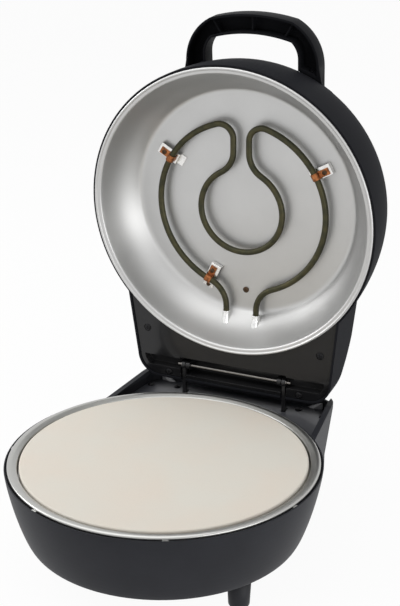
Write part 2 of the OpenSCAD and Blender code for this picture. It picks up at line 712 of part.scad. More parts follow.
// One half of the element, from the terminal to the middle of the inner loop
module half_element() {
    outer_c = [0, outer_loop_y];
    inner_c = [0, inner_loop_y];
    to_hairpin = atan2(hairpin_c[1] - outer_loop_y, hairpin_c[0]);
    to_terminal = atan2(terminal_c[1] - outer_loop_y, terminal_c[0]);
    to_flare = atan2(flare_c[1] - inner_loop_y, flare_c[0]);
    sheath_run([terminal_half, terminal_end_y], [terminal_half, terminal_c[1]]);
    translate(terminal_c) tube_bend(terminal_bend_r, 180, 180 + to_terminal);
    translate(outer_c) tube_bend(outer_loop_r, to_hairpin, to_terminal);
    translate(hairpin_c) tube_bend(hairpin_r, -180, to_hairpin);
    sheath_run([hairpin_half, hairpin_c[1]], [hairpin_half, flare_c[1]]);
    translate(flare_c) tube_bend(flare_r, 180 + to_flare, 180);
    translate(inner_c) tube_bend(inner_loop_r, to_flare, 90);
    // Slight swellings where the bends meet, each with the heading of the sheath there
    for (k = [[[terminal_half, terminal_c[1]], 90],
        [at_angle(outer_c, outer_loop_r, to_terminal), to_terminal + 90],
        [at_angle(outer_c, outer_loop_r, to_hairpin), to_hairpin + 90],
        [[hairpin_half, hairpin_c[1]], 90], [[hairpin_half, flare_c[1]], 90],
        [at_angle(inner_c, inner_loop_r, to_flare), to_flare + 90],
        [[0, inner_loop_y + inner_loop_r], 0]])
        translate(k[0]) rotate([0, 90, k[1]]) sphere(d = element_d + 0.1, $fn = 24);
}

module upper_element() color([0.36, 0.33, 0.24]) in_lid() element_frame()
    translate([0, 0, element_z]) both_sides() half_element();

module upper_ferrules() color([0.9, 0.9, 0.88]) in_lid() element_frame() for (side = [-1, 1])
    translate([side * terminal_half, ferrule_y, element_z]) rotate([-90, 0, 0]) difference() {
        cylinder(r = ferrule_r, h = terminal_end_y - ferrule_y - 3, $fn = 40);
        translate([0, 0, -1]) cylinder(r = element_d / 2 + 0.05, h = 30, $fn = 40);
    }

module on_brackets() element_frame() for (i = [0:2]) translate([0, outer_loop_y, 0])
    rotate([0, 0, bracket_angles[i]]) translate([outer_loop_r, 0, 0])
        rotate([0, 0, bracket_facing[i]]) children();

module element_brackets() color([0.8, 0.8, 0.8]) in_lid() on_brackets() {
    low = element_z + element_d / 2 + seat;
    translate([-7, -6, low]) cube([26, 12, 1.2]);
    translate([17.8, -6, low]) cube([1.2, 12, dish_depth - low]);
    translate([-7, -6, low]) cube([1.2, 12, dish_depth - low]);
    translate([-7, -6, dish_depth - 1.2]) cube([10, 12, 1.2]);
}

module element_clamps() color([0.62, 0.36, 0.18]) in_lid() on_brackets() {
    low = element_z - element_d / 2 - seat;
    high = element_z + element_d / 2;
    translate([-element_d / 2 - 1.2, -4, low - 1.2]) cube([element_d + 2.4, 8, 1.2]);
    translate([-element_d / 2 - 1.2 - seat, -4, low - 1.2]) cube([1.2, 8, high - low + 1.2]);
    translate([element_d / 2 + seat, -4, low - 1.2]) cube([1.2, 8, high - low + 1.2]);
    difference() {
        translate([element_d / 2 + seat, -4, high - 1.1]) cube([11, 8, 1.1]);
        translate([10.5, 0, high - 5]) cylinder(r = 1.6, h = 20, $fn = 24);
    }
}

module bracket_screws() color([0.7, 0.66, 0.55]) in_lid() on_brackets()
    translate([10.5, 0, element_z + element_d / 2 - 1.1]) {
        mirror([0, 0, 1]) round_head(2.8, 1.8);
        cylinder(r = 1.5, h = 1.1, $fn = 24);
    }

module lid_thermostat() color([0.5, 0.42, 0.3]) in_lid()
    translate([0, thermostat_y, dish_depth + sheet_t]) {
        cylinder(r = 8, h = 9, $fn = 48);
        translate([-12, -4, 3]) cube([24, 8, 1]);
    }

module thermostat_screw() color([0.7, 0.7, 0.7]) in_lid()
    translate([0, thermostat_y, dish_depth]) {
        mirror([0, 0, 1]) round_head(3.6, 2);
        cylinder(r = 1.8, h = sheet_t, $fn = 24);
    }

module panel_screws() color([0.12, 0.12, 0.12]) in_lid() for (p = panel_screw_spots)
    both_sides() translate([p[0], p[1], panel_z + 1.2]) {
        mirror([0, 0, 1]) round_head(3.8, 1.8);
        cylinder(r = 1.55, h = 12, $fn = 24);
    }

// ---------- handle ----------

handle_screw_x = handle_half - handle_leg / 2;
handle_screw_z = handle_z0 + 8;

// Outline of the handle: straight legs, rounded corners and a slightly arched top
module arch(half, reach, corner, crown, low) intersection() {
    union() {
        translate([-half, -reach + corner]) square([2 * half, reach - corner - low]);
        translate([-half + corner, -reach]) square([2 * (half - corner), corner + 1]);
        for (side = [-1, 1]) translate([side * (half - corner), -reach + corner])
            circle(corner, $fn = 96);
    }
    translate([0, crown - reach]) circle(crown, $fn = 128);
}

module handle_plan(grow = 0) difference() {
    arch(handle_half + grow, handle_reach + grow, handle_corner_r + grow, handle_crown_r + grow,
        handle_foot_y - grow);
    arch(handle_in_half - grow, handle_in_reach - grow, handle_in_corner - grow,
        handle_in_crown - grow, handle_foot_y - 10);
}

// Webs that fair the legs into the dome on its rim side
module handle_webs() for (side = [-1, 1]) polygon([[side * (handle_half - 1), -handle_root_r + 9],
    [side * (handle_half + 8), -handle_root_r + 19], [side * (handle_half + 18), -handle_root_r + 32],
    [side * (handle_half - 6), -handle_foot_y]]);

// Ribs across the channel: place on the outline and heading
handle_ribs = [[0, handle_reach, 0], [48, handle_reach - 8, 32], [-48, handle_reach - 8, -32]];

module handle() color([0.13, 0.13, 0.14]) in_lid() difference() {
    union() {
        difference() {
            translate([0, 0, handle_z0]) linear_extrude(height = handle_t) handle_plan();
            // Channel open to the rim side
            translate([0, 0, handle_z0 - 1]) linear_extrude(height = handle_t + 1 - handle_wall)
                difference() {
                    handle_plan(-handle_wall);
                    circle(r = handle_root_r);
                }
        }
        translate([0, 0, handle_z0]) linear_extrude(height = handle_wall * 2) handle_webs();
        // Cross ribs in the channel
        intersection() {
            translate([0, 0, handle_z0 + handle_t * 0.3]) linear_extrude(height = handle_t * 0.65)
                handle_plan(-handle_wall * 0.5);
            for (rib = handle_ribs) translate([rib[0], -rib[1], 0]) rotate([0, 0, rib[2]])
                translate([-rib_t / 2, -handle_wall, 0])
                    cube([rib_t, handle_bar + 4 * handle_wall, lid_h * 2]);
        }
    }
    dome(-seat);
    for (side = [-1, 1]) translate([side * handle_screw_x, 0, handle_screw_z]) rotate([90, 0, 0])
        cylinder(r = 2.05, h = handle_root_r - 14, $fn = 32);
}

module handle_screws() color([0.7, 0.7, 0.7]) in_lid() for (side = [-1, 1])
    translate([side * handle_screw_x, -handle_foot_y, handle_screw_z]) rotate([90, 0, 0])
        cylinder(r = 2, h = handle_root_r - 15.5 - handle_foot_y, $fn = 32);

module pilot_lenses() color([0.8, 0.12, 0.08]) in_lid() for (side = [-1, 1])
    translate([side * lens_x, -lens_y, lid_h - wall - 2]) {
        cylinder(r = lens_r, h = wall + 3.2, $fn = 40);
        cylinder(r = lens_r + 1.4, h = 2 - seat, $fn = 40);
    }

base_housing();
tray_ring();
baking_stone();
lower_reflector();
lower_element();
lower_element_clips();
lower_ferrules();
base_thermostat();
rim_clips();
rear_deck();
deck_screws();
pivot_pins();
hinge_arm_left();
hinge_arm_right();
hinge_rod();
rod_clips();
terminal_block();
cord_bush();
foot_front_left();
foot_front_right();
foot_rear();
foot_screws();
lid_shell();
union() { lid_frame(); hinge_lugs(); }
reflector_dish();
upper_element();
upper_ferrules();
element_brackets();
element_clamps();
bracket_screws();
lid_thermostat();
thermostat_screw();
panel_screws();
handle();
handle_screws();
pilot_lenses();
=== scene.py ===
"""Finishes, small parts, camera and stage for an electric pizza maker, laid out as a Blender add-on."""
import json
import math

import bmesh
import bpy
import numpy as np
from bpy.props import FloatProperty, FloatVectorProperty, PointerProperty
from mathutils import Matrix, Vector


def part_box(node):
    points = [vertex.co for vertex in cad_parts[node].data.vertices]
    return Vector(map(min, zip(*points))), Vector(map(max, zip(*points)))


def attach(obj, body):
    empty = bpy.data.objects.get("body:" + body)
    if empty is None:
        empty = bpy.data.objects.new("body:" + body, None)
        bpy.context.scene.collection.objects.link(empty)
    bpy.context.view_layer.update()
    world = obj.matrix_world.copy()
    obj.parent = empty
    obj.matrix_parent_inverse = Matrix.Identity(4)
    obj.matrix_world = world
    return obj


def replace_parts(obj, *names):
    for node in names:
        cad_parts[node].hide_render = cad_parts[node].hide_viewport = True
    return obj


bl_info = {
    "name": "Pizza Maker Dresser",
    "version": (1, 0, 0),
    "blender": (4, 5, 0),
    "location": "View3D > Sidebar > Pizza Maker",
    "description": "Gives the pizza maker its finishes, small parts, stage and camera",
    "category": "Object",
}

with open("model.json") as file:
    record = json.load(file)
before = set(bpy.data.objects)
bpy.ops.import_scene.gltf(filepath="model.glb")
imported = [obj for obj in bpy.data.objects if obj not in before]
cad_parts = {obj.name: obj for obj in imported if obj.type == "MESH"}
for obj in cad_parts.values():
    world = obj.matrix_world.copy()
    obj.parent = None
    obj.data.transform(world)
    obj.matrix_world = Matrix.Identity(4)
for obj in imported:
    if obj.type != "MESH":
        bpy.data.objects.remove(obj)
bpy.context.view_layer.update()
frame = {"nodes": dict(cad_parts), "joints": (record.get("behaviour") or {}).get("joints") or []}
NODES = frame["nodes"]
JOINTS = {joint["name"]: joint for joint in frame["joints"]}
MM = 0.001


# ---------------------------------------------------------------- frames and sizes

# The base's frame: its origin is on the axis of the round body, level with the crown of the tray's ring
RING_LOW, RING_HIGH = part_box("tray_ring")
AXIS = Vector(((RING_LOW.x + RING_HIGH.x) / 2, (RING_LOW.y + RING_HIGH.y) / 2, 0))
CROWN = RING_HIGH.z
RING = Matrix.Translation(AXIS + Vector((0, 0, CROWN)))

# The lid's frame: x to the right, y to the hinge, z away from the plane of its rim. The hinge's rod has
# a fixed place in it, and the whole frame is swung about the rod by the angle that the lid stands open.
LID_SWING = math.radians(-85.5)
ROD = Vector(JOINTS["lid_tilt"]["pos_m"])
ROD_IN_LID = Vector((0, 197.596 * MM, 8.659 * MM))
LID = Matrix.Translation(ROD) @ Matrix.Rotation(LID_SWING, 4, "X") @ Matrix.Translation(-ROD_IN_LID)
LID_CENTRE = LID @ Vector((0, 0, 0))
LID_Y = (LID.to_3x3() @ Vector((0, 1, 0))).normalized()
UPSIDE_DOWN = Matrix.Rotation(math.pi, 4, "X")

# Sizes of the model that the pieces here fit, in millimetres; angles in degrees
DISH_R, DISH_FLOOR_R, DISH_DEPTH, DISH_RIM, DISH_BULGE, BEAD_R = 167.9, 132.9, 50.6, 7, 4.5, 1.5
LID_TOP_R, LID_SHOULDER, LID_DOME_START, LID_DOME_DEPTH, LID_POWER = 154, 16.3, 2, 86, 1.75
DECK_Z, PANEL_Z, BOX_REAR, BOX_HALF_REAR = -14, 3.5, 215.996, 123
DECK_SCREWS = ((79, BOX_REAR - 21), (BOX_HALF_REAR - 12, BOX_REAR - 29))
PANEL_SCREWS = ((BOX_HALF_REAR - 14, 153.8), (83.4, BOX_REAR - 7))
FOOT_ANGLES, FOOT_CIRCLE_R, FOOT_HEIGHT = {"front_left": 207.5, "front_right": 332.5, "rear": 90}, 126, 36.6
ELEMENT_TURN, ELEMENT_Z, OUTER_LOOP_Y, OUTER_LOOP_R = 1.2, DISH_DEPTH - 10, 3.5, 101.5
BRACKET_ANGLES, BRACKET_FACING = (330.5, 210, 114.5), (0, 0, 180)
TERMINAL_X, TERMINAL_Y, THERMOSTAT_Y = 19, 133, 107

# The camera's place in metres and its angles, and each lamp's name, width, height and place in metres
CAMERA_PLACE = AXIS + Vector((0.5060, -1.0073, CROWN + 0.5782))
CAMERA_AZIMUTH, CAMERA_ELEVATION, CAMERA_ROLL = math.radians(24.76), math.radians(19.87), math.radians(0.035)
LAMP_TARGET = Vector((0, 0, 0.25))
LAMPS = (
    ("key", 1.3, 0.4, (1.45, -0.6, 0.21)),
    ("fill", 0.7, 0.7, (-1.75, -0.3, 0.95)),
    ("top", 3.0, 3.0, (-0.6, -0.4, 2.3)),
)


# ---------------------------------------------------------------- settings

def shade(name, description, default):
    """A colour property with linear values."""
    return FloatVectorProperty(name=name, description=description, subtype="COLOR", size=3, min=0, max=1,
                               default=default)


def measure(name, description, millimetres):
    """A length property, which is kept in metres."""
    return FloatProperty(name=name, description=description, unit="LENGTH", min=0, precision=5,
                         default=millimetres * MM)


def power(name, description, watts):
    """A lamp's power property."""
    return FloatProperty(name=name, description=description, unit="POWER", min=0, default=watts)


class PizzaMakerColours(bpy.types.PropertyGroup):
    """Colours of the finishes."""
    body: shade("Body", "Satin charcoal of the base and the lid", (0.027, 0.028, 0.033))
    panel: shade("Panel", "Glossy dark inner panel of the lid", (0.012, 0.012, 0.013))
    deck: shade("Deck", "Glossy grey deck behind the tray", (0.05, 0.052, 0.06))
    # The fairing's pale grey is a painted highlight: the facets belong to the dark housing, and this colour
    # stands in for the key lamp's reflection on them
    fairing: shade("Fairing", "Glossy facets inside the rear corners", (0.36, 0.362, 0.38))
    stone: shade("Stone", "Cream of the baking stone", (0.8, 0.765, 0.685))
    steel: shade("Ring", "Spun steel of the tray's ring", (0.45, 0.45, 0.435))
    reflector: shade("Reflector", "Satin aluminium of the reflectors", (0.55, 0.55, 0.546))
    sheath: shade("Element", "Oxidised sheath of the heating elements", (0.05, 0.048, 0.026))
    copper: shade("Clamp", "Copper-brown clamp strips", (0.32, 0.12, 0.045))
    black_screw: shade("Black screws", "Blackened screws of the deck and the panel", (0.03, 0.03, 0.032))
    brown_screw: shade("Brown screws", "Heat-browned screws in the dish", (0.1, 0.065, 0.042))


class PizzaMakerSizes(bpy.types.PropertyGroup):
    """Sizes of the small parts."""
    sheet: measure("Sheet", "Thickness of the dish and of the tray's ring", 1)
    handle_edge: measure("Handle edge", "Width of the rounding along the handle's edges", 1)
    fairing_edge: measure("Fairing edge", "Width of the rounding along the facets' edges", 0.5)
    plate_width: measure("Plate width", "Width of the element's bracket plates", 13)
    plate_gauge: measure("Plate gauge", "Thickness of the bracket plates", 1.2)
    clamp_width: measure("Clamp width", "Width of the clamp straps", 8)
    clamp_gauge: measure("Clamp gauge", "Thickness of the clamp straps", 1.1)
    deck_screw: measure("Deck screw", "Radius of the deck screws' heads", 4)
    panel_screw: measure("Panel screw", "Radius of the panel screws' heads", 3.8)
    bracket_screw: measure("Bracket screw", "Radius of the bracket screws' heads", 2.7)
    thermostat_screw: measure("Thermostat screw", "Radius of the thermostat screw's head", 3.6)


class PizzaMakerStage(bpy.types.PropertyGroup):
    """Light and camera."""
    key_power: power("Key light", "Power of the soft light on the right", 6.3)
    fill_power: power("Fill light", "Power of the light on the left", 10)
    top_power: power("Top light", "Power of the light overhead", 34)
    sky: FloatProperty(name="Sky", description="Strength of the even light from all around", default=0.35,
                       min=0)
    lens: FloatProperty(name="Lens", description="Focal length of the camera", default=70.62, min=1,
                        unit="CAMERA")


# ---------------------------------------------------------------- shader tools

class Wire:
    """A node's output socket that takes part in Python arithmetic: each operator adds a Math node."""

    def __init__(self, tree, socket):
        self.tree = tree
        self.socket = socket

    def math(self, operation, *terms):
        """A Math node over the given terms, which are wires or numbers."""
        node = self.tree.nodes.new("ShaderNodeMath")
        node.operation = operation
        for i, term in enumerate(terms):
            if isinstance(term, Wire):
                self.tree.links.new(term.socket, node.inputs[i])
            else:
                node.inputs[i].default_value = term
        return Wire(self.tree, node.outputs[0])

    def __add__(self, other):
        return self.math("ADD", self, other)

    def __radd__(self, other):
        return self.math("ADD", other, self)

    def __sub__(self, other):
        return self.math("SUBTRACT", self, other)

    def __rsub__(self, other):
        return self.math("SUBTRACT", other, self)

    def __mul__(self, other):
        return self.math("MULTIPLY", self, other)

    def __rmul__(self, other):
        return self.math("MULTIPLY", other, self)

    def __truediv__(self, other):
        return self.math("DIVIDE", self, other)

    def __pow__(self, other):
        return self.math("POWER", self, other)

    def clamped(self):
        """Held between 0 and 1."""
        return self.math("MINIMUM", self.math("MAXIMUM", self, 0.0), 1.0)

    def step(self, low, high):
        """0 below low and 1 above high, straight in between."""
        return ((self - low) / (high - low)).clamped()


class Finish:
    """One material, with its Principled shader and what is needed to feed it."""

    def __init__(self, name, colour, roughness, metallic=0.0, coat=0.0, gloss=0.5):
        self.material = bpy.data.materials.new(name)
        self.material.use_nodes = True
        self.tree = self.material.node_tree
        self.shader = self.tree.nodes["Principled BSDF"]
        self.shader.inputs["Base Color"].default_value = (*colour, 1)
        self.shader.inputs["Roughness"].default_value = roughness
        self.shader.inputs["Metallic"].default_value = metallic
        self.shader.inputs["Coat Weight"].default_value = coat
        self.shader.inputs["Specular IOR Level"].default_value = gloss
        self.material.diffuse_color = (*colour, 1)
        self.place = self.node("ShaderNodeTexCoord", output="Object")

    def node(self, kind, settings=None, output=0, **inputs):
        """Adds a node, sets its settings, then its inputs from values or wires, and returns one output.
        An input goes by its name, or by an underscore and its number."""
        node = self.tree.nodes.new(kind)
        for key, value in (settings or {}).items():
            setattr(node, key, value)
        for key, value in inputs.items():
            socket = node.inputs[int(key[1:]) if key[1:].isdigit() else key]
            if isinstance(value, Wire):
                self.tree.links.new(value.socket, socket)
            else:
                socket.default_value = value
        return Wire(self.tree, node.outputs[output])

    def noise(self, size, detail=2.0, rough=0.5):
        """Noise between 0 and 1 whose features are about size metres across."""
        return self.node("ShaderNodeTexNoise", Vector=self.place, Scale=1 / size, Detail=detail,
                         Roughness=rough)

    def line_noise(self, along, size, detail=1.0):
        """Noise that changes only with the wire along, in steps of about size metres."""
        return self.node("ShaderNodeTexNoise", {"noise_dimensions": "1D"}, W=along, Scale=1 / size,
                         Detail=detail)

    def about(self, origin, across, up):
        """Distance from an axis: the root of the summed squares of the place's two components across it."""
        where = self.node("ShaderNodeVectorMath", {"operation": "SUBTRACT"}, _0=self.place, _1=tuple(origin))
        a, b = (self.node("ShaderNodeVectorMath", {"operation": "DOT_PRODUCT"}, output="Value", _0=where,
                          _1=tuple(direction)) for direction in (across, up))
        return (a * a + b * b) ** 0.5

    def blend(self, mask, first, second):
        """Mixes two colours, each a wire or a triple, by a mask."""
        def full(colour):
            return colour if isinstance(colour, Wire) else (*colour, 1)
        return self.node("ShaderNodeMix", {"data_type": "RGBA"}, output=2, _0=mask, _6=full(first),
                         _7=full(second))

    def feed(self, socket, wire):
        """Links a wire to one of the shader's sockets."""
        self.tree.links.new(wire.socket, self.shader.inputs[socket])

    def relief(self, height, depth, rounding=0.0):
        """Bump from a height between 0 and 1 that stands for depth metres, on edges that look rounded."""
        bump = self.node("ShaderNodeBump", Strength=1.0, Distance=depth, Height=height)
        if rounding:
            edge = self.node("ShaderNodeBevel", {"samples": 4}, Radius=rounding)
            self.tree.links.new(edge.socket, bump.socket.node.inputs["Normal"])
        self.feed("Normal", bump)


def seen_by(tree, *rays):
    """1 for the named kinds of ray and 0 for all others: the largest of their Light Path outputs."""
    path = tree.nodes.new("ShaderNodeLightPath")
    seen, *others = [Wire(tree, path.outputs[ray]) for ray in rays]
    for other in others:
        seen = seen.math("MAXIMUM", seen, other)
    return seen


# ---------------------------------------------------------------- finishes

def tint(colour, *factors):
    """A colour made lighter or darker, by one factor or by one for each channel, up to 1."""
    scale = factors * len(colour) if len(factors) == 1 else factors
    return tuple(min(1.0, channel * factor) for channel, factor in zip(colour, scale))


def moulding(name, colour, rough, grain, coat=0.0, gloss=0.5):
    """Moulded plastic: spark-eroded grain as deep as given, a slightly uneven sheen and faint marks."""
    f = Finish(name, colour, rough, coat=coat, gloss=gloss)
    fine = f.noise(0.35 * MM, 3, 0.6)
    broad = f.noise(45 * MM, 3)
    f.feed("Base Color", f.blend(broad.step(0.3, 0.7), tint(colour, 0.92), tint(colour, 1.1)))
    f.feed("Roughness", rough - 0.04 + 0.05 * broad + 0.05 * fine)
    f.relief(fine, grain, 0.8 * MM)
    return f.material


def turned(name, colour, rough, origin, across, up):
    """Sheet metal spun on a lathe: rings round its axis in tone, sheen and relief."""
    f = Finish(name, colour, rough, metallic=1.0)
    radius = f.about(origin, across, up)
    rings = f.line_noise(radius, 0.25 * MM, 3)
    wide = f.line_noise(radius, 9 * MM, 2)
    cloud = f.noise(60 * MM, 2)
    f.feed("Base Color", f.blend((0.6 * rings + 0.4 * wide).step(0.25, 0.75), tint(colour, 0.93),
                                 tint(colour, 1.06)))
    f.feed("Roughness", rough - 0.05 + 0.06 * rings + 0.06 * cloud)
    f.relief(rings, 0.012 * MM)
    return f.material


def satin(name, colour, rough, origin, across, up):
    """Satin aluminium sheet: pearly clouds, the finest of spinning rings and a little dust."""
    f = Finish(name, colour, rough, metallic=1.0)
    rings = f.line_noise(f.about(origin, across, up), 0.35 * MM, 3)
    cloud = f.noise(40 * MM, 3)
    pearl = f.noise(1.1 * MM, 3, 0.6)
    f.feed("Base Color", f.blend((0.7 * cloud + 0.3 * pearl).step(0.3, 0.7), tint(colour, 0.96),
                                 tint(colour, 1.04)))
    f.feed("Roughness", rough - 0.05 + 0.04 * rings + 0.05 * cloud + 0.03 * pearl)
    f.relief(0.5 * rings + 0.5 * pearl, 0.006 * MM)
    return f.material


def bright(name, colour, rough):
    """Plated or drawn steel with faint handling marks."""
    f = Finish(name, colour, rough, metallic=1.0)
    patch = f.noise(4.8 * MM, 3)
    f.feed("Base Color", f.blend(patch.step(0.35, 0.7), tint(colour, 0.85), tint(colour, 1.05)))
    f.feed("Roughness", rough - 0.04 + 0.1 * patch)
    f.relief(f.noise(1.2 * MM, 2), 0.01 * MM, 0.2 * MM)
    return f.material


def stone_finish(colour):
    """Pressed cordierite: cream with sandy speckle, broad warm clouds and fine open pores."""
    f = Finish("baking stone", colour, 0.82)
    cloud = f.noise(70 * MM, 2)
    speck = f.noise(0.9 * MM, 3, 0.65)
    warm = f.blend(cloud.step(0.35, 0.7), colour, tint(colour, 1.02, 0.975, 0.955))
    f.feed("Base Color", f.blend(speck.step(0.6, 0.72) * 0.45, warm, tint(colour, 0.78)))
    pores = f.node("ShaderNodeTexVoronoi", Vector=f.place, Scale=1 / (1.6 * MM)).step(0.12, 0.3)
    f.feed("Roughness", 0.76 + 0.1 * speck)
    f.relief(0.6 * f.noise(0.5 * MM, 3) + 0.4 * pores, 0.05 * MM, 0.5 * MM)
    return f.material


def sheath_finish(colour):
    """Annealed heater sheath: olive to brown oxide in patches, a little worn on the high spots."""
    f = Finish("element sheath", colour, 0.42, metallic=0.75)
    patch = f.noise(9 * MM, 3)
    fine = f.noise(0.8 * MM, 3)
    oxide = f.blend(patch.step(0.35, 0.68), tint(colour, 0.8, 0.85, 0.9), tint(colour, 1.5, 1.4, 1.25))
    f.feed("Base Color", f.blend(fine.step(0.62, 0.8) * 0.5, oxide, tint(colour, 2.2)))
    f.feed("Roughness", 0.33 + 0.16 * patch + 0.06 * fine)
    f.relief(fine, 0.02 * MM)
    return f.material


def copper_finish(colour):
    """Heat-tinted copper-plated strip."""
    f = Finish("clamp copper", colour, 0.38, metallic=0.9)
    patch = f.noise(4 * MM, 3)
    f.feed("Base Color", f.blend(patch.step(0.35, 0.7), tint(colour, 0.55), tint(colour, 1.6)))
    f.feed("Roughness", 0.3 + 0.2 * patch)
    f.relief(f.noise(0.6 * MM, 2), 0.02 * MM, 0.25 * MM)
    return f.material


def ceramic_finish():
    """Fired white ceramic with a faint cream cloud."""
    f = Finish("ceramic", (0.72, 0.7, 0.66), 0.5)
    cloud = f.noise(5 * MM, 3)
    f.feed("Base Color", f.blend(cloud, (0.78, 0.77, 0.74), (0.62, 0.6, 0.55)))
    f.feed("Roughness", 0.42 + 0.15 * cloud)
    f.relief(f.noise(0.4 * MM, 2), 0.02 * MM, 0.2 * MM)
    return f.material


def lens_finish():
    """Translucent red lens, seen as a deep glossy red."""
    f = Finish("pilot lens", (0.35, 0.012, 0.008), 0.12, coat=0.6)
    ribs = f.line_noise(f.about(AXIS, (1, 0, 0), (0, 1, 0)), 0.8 * MM)
    f.feed("Base Color", f.blend(ribs, (0.28, 0.008, 0.006), (0.5, 0.02, 0.012)))
    f.relief(ribs, 0.03 * MM, 0.3 * MM)
    return f.material


def dress(material, *names):
    """Puts one material on CAD nodes."""
    for name in names:
        mesh = NODES[name].data
        mesh.materials.clear()
        mesh.materials.append(material)


# ---------------------------------------------------------------- mesh tools

def at(x, y, z):
    """A move by millimetres."""
    return Matrix.Translation(Vector((x, y, z)) * MM)


def placed(points, *places):
    """Points in millimetres carried into the shared frame by each matrix in turn, one copy after another:
    the matrix's turn times the point, plus its shift."""
    points = points.reshape(-1, 3) * MM
    return np.concatenate([points @ np.array(place.to_3x3()).T + np.array(place.translation)
                           for place in places])


def grid_faces(rows, columns):
    """Quads between neighbours of a grid that is stored row by row, each row closed on itself."""
    i = np.arange(rows - 1)[:, None]
    j = np.arange(columns)[None, :]
    k = (j + 1) % columns
    quads = np.stack([i * columns + j, i * columns + k, (i + 1) * columns + k, (i + 1) * columns + j], -1)
    return quads.reshape(-1, 4)


def repeated(faces, points, copies):
    """Faces for copies of a shape that follow one another, each with the given number of points."""
    return (faces + (np.arange(copies) * points)[:, None, None]).reshape(-1, faces.shape[1])


def add_piece(name, mesh, body):
    """An object at the origin that rides on a body and takes its finish from its slot."""
    piece = bpy.data.objects.new(name, mesh)
    bpy.context.scene.collection.objects.link(piece)
    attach(piece, body)
    return piece


def new_piece(name, points, faces, material, body, smooth=True):
    """A piece from arrays, with doubled points merged and every face turned outwards."""
    mesh = bpy.data.meshes.new(name)
    mesh.from_pydata(points.tolist(), [], faces)
    mesh.polygons.foreach_set("use_smooth", np.full(len(mesh.polygons), smooth))
    mesh.materials.append(material)
    mesh.validate()
    work = bmesh.new()
    work.from_mesh(mesh)
    bmesh.ops.remove_doubles(work, verts=work.verts, dist=1e-6)
    bmesh.ops.dissolve_degenerate(work, edges=work.edges, dist=1e-7)
    bmesh.ops.recalc_face_normals(work, faces=work.faces)
    work.to_mesh(mesh)
    work.free()
    return add_piece(name, mesh, body)


def spun(name, profile, place, material, body, around=192):
    """A closed profile of (radius, height) turned about the z axis of place: each row of the grid is one
    profile point carried round the circle, and a row on the axis shrinks to one point."""
    angle = np.linspace(0, 2 * np.pi, around, endpoint=False)
    points = np.stack([profile[:, :1] * np.cos(angle), profile[:, :1] * np.sin(angle),
                       np.repeat(profile[:, 1:], around, 1)], -1)
    faces = grid_faces(len(profile), around)
    return new_piece(name, placed(points, place), faces.tolist(), material, body)


def strap(name, path, width, thick, places, material, body, shift=0.0):
    """Bent sheet strips: a path in x and z, softened at its bends, carries a rectangle with small chamfers
    along it, width across y and thick across the path; both ends are closed."""
    line = softened(path, 0.5, 0.8)
    normal = normals(line)
    w, t, c = width / 2, thick / 2, 0.2
    ring = np.array([(w - c, t), (c - w, t), (-w, t - c), (-w, c - t), (c - w, -t), (w - c, -t), (w, c - t),
                     (w, t - c)])
    points = np.empty((len(line), len(ring), 3))
    points[..., 0] = line[:, :1] + normal[:, :1] * ring[:, 1]
    points[..., 1] = shift + ring[:, 0]
    points[..., 2] = line[:, 1:] + normal[:, 1:] * ring[:, 1]
    count, copies = len(line) * len(ring), len(places)
    first = np.arange(len(ring))
    sides = repeated(grid_faces(len(line), len(ring)), count, copies)
    ends = repeated(np.stack([first, count - 1 - first]), count, copies)
    return new_piece(name, placed(points, *places), sides.tolist() + ends.tolist(), material, body,
                     smooth=False)


def screw_heads(name, radius, height, places, material, body):
    """Domed heads with a cross recess, on a polar grid: the height falls with a power of the radius, and
    inside the cross it drops by a third of the radius; the last rows close the head underneath."""
    arm_width, arm_reach, fall, depth = 0.3, 0.62, 0.45, 0.33
    share = np.concatenate([[0], np.linspace(0.06, 0.9, 15), [0.96, 0.99, 1, 1, 0]])
    angle = np.linspace(0, 2 * np.pi, 48, endpoint=False)
    x, y = share[:, None] * np.cos(angle), share[:, None] * np.sin(angle)
    z = height * (1 - fall * share[:, None] ** 2.4 + 0 * angle)
    arm = np.minimum(np.abs(x), np.abs(y)) / (0.5 * arm_width)
    reach = np.maximum(np.abs(x), np.abs(y)) / arm_reach
    z -= depth * radius * np.clip(4 - 4 * arm, 0, 1) * np.clip(6 - 6 * reach, 0, 1)
    z[-3] = 0.42 * height
    z[-2:] = 0
    head = np.stack([x * radius, y * radius, z], -1)
    faces = repeated(grid_faces(*x.shape), x.size, len(places))
    return new_piece(name, placed(head, *places), faces.tolist(), material, body)


def rounded_copy(name, node, body, shape, width):
    """A merged copy of a CAD node's mesh whose points are moved by shape, with its real edges bevelled to
    the given width and its flatter ones left smooth."""
    flat, sharp, smooth = math.radians(0.4), math.radians(38), math.radians(32)
    mesh = NODES[node].data.copy()
    mesh.name = name
    work = bmesh.new()
    work.from_mesh(mesh)
    bmesh.ops.remove_doubles(work, verts=work.verts, dist=2e-6)
    bmesh.ops.dissolve_limit(work, angle_limit=flat, verts=work.verts, edges=work.edges)
    work.to_mesh(mesh)
    work.free()
    points = np.empty(len(mesh.vertices) * 3)
    mesh.vertices.foreach_get("co", points)
    mesh.vertices.foreach_set("co", shape(points.reshape(-1, 3)).ravel())
    work = bmesh.new()
    work.from_mesh(mesh)
    edges = [e for e in work.edges if e.is_manifold and e.calc_face_angle(0) > sharp]
    bmesh.ops.bevel(work, geom=edges, offset=width, offset_type="OFFSET", segments=3, profile=0.5,
                    affect="EDGES", clamp_overlap=True)
    for edge in work.edges:
        edge.smooth = edge.is_manifold and edge.calc_face_angle(0) < smooth
    for face in work.faces:
        face.smooth = True
    work.to_mesh(mesh)
    work.free()
    piece = add_piece(name, mesh, body)
    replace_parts(piece, node)
    return piece


# ---------------------------------------------------------------- sections and shapes

def normals(line):
    """The unit normals of a line in a plane: its slope turned by a quarter, over its length."""
    slope = np.gradient(line, axis=0)
    return np.stack([-slope[:, 1], slope[:, 0]], -1) / np.hypot(*slope.T)[:, None]


